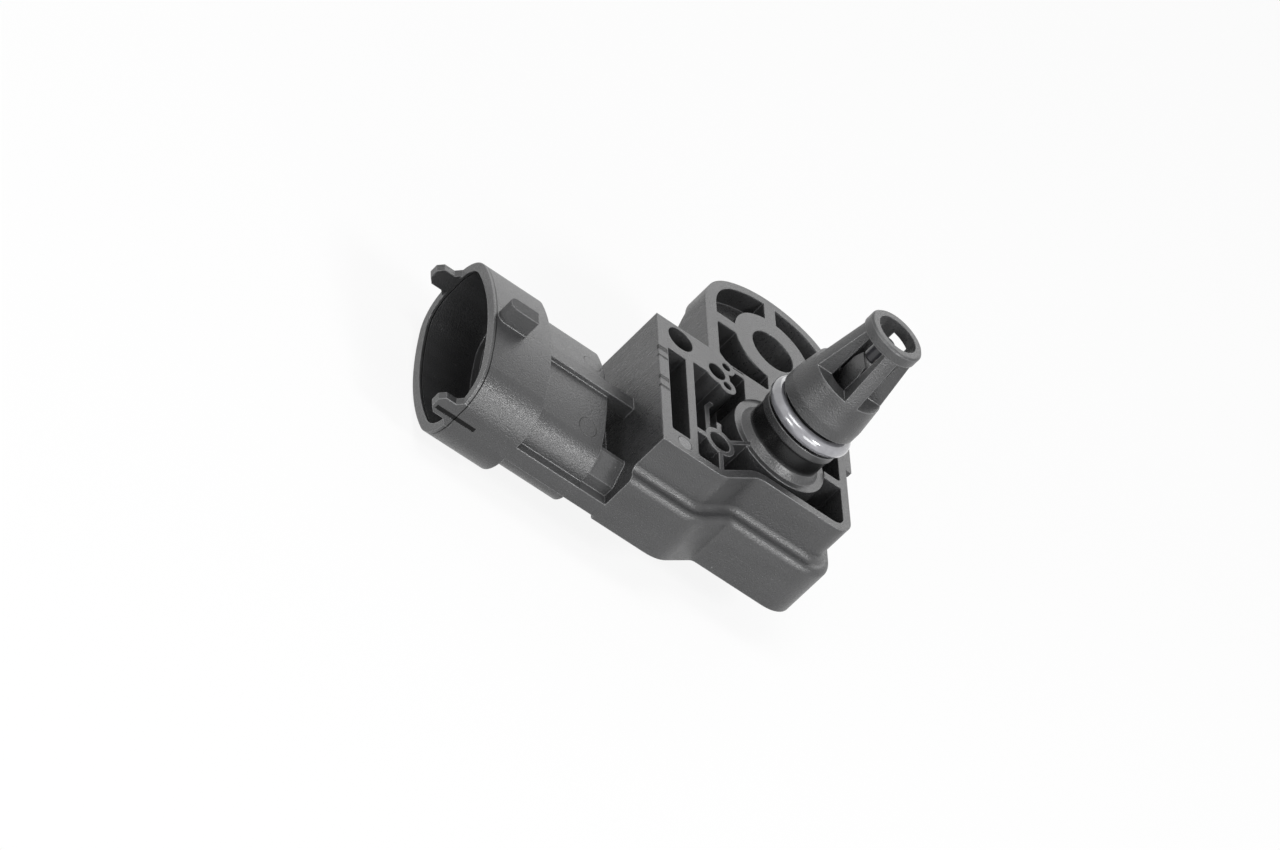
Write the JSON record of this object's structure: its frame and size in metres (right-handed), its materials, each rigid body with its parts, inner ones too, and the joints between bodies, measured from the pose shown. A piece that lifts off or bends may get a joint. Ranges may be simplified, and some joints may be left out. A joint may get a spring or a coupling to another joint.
{
  "type": "manifold absolute pressure sensor",
  "caption": "Black moulded manifold pressure and temperature sensor with a one-bolt flange, a sealed port with a caged tip, and an oval plug socket.",
  "frame": {"origin": "the port's axis where it meets the ribbed mounting face", "axes": "+Z along the port towards its tip, -X out of the connector's mouth, +Y from the port towards the bolt hole"},
  "size_m": [0.0578, 0.0462, 0.0411],
  "materials": {
    "black_plastic": "glass-filled nylon with a fine moulded grain",
    "ring_rubber": "smooth light grey rubber",
    "terminal_metal": "stamped and tin plated",
    "lead_wire": "drawn, with a dark enamel coat",
    "bead_resin": "dipped resin",
    "sealant": "cured adhesive",
    "ceramic": "fired alumina",
    "glass": "polished borosilicate",
    "silicon": "polished silicon",
    "gel": "clear soft silicone",
    "capacitor_ceramic": "fired ceramic",
    "bond_aluminium": "drawn wire"
  },
  "bodies": {
    "root": {"sensor_housing": "black_plastic", "rear_cover": "black_plastic", "terminal_1": "terminal_metal", "terminal_2": "terminal_metal", "terminal_3": "terminal_metal", "terminal_4": "terminal_metal", "thermistor_lead_1": "lead_wire", "thermistor_lead_2": "lead_wire", "thermistor_bead": "bead_resin", "cover_sealant": "sealant", "port_sealing_ring": "ring_rubber", "ceramic_substrate": "ceramic", "substrate_adhesive": "sealant", "gel_dam": "black_plastic", "glass_base": "glass", "pressure_chip": "silicon", "sensor_gel": "gel", "capacitor_1": "capacitor_ceramic", "capacitor_2": "capacitor_ceramic", "capacitor_3": "capacitor_ceramic", "bond_strap_1": "bond_aluminium", "bond_strap_2": "bond_aluminium", "bond_strap_3": "bond_aluminium", "bond_strap_4": "bond_aluminium"}
  },
  "joints": []
}
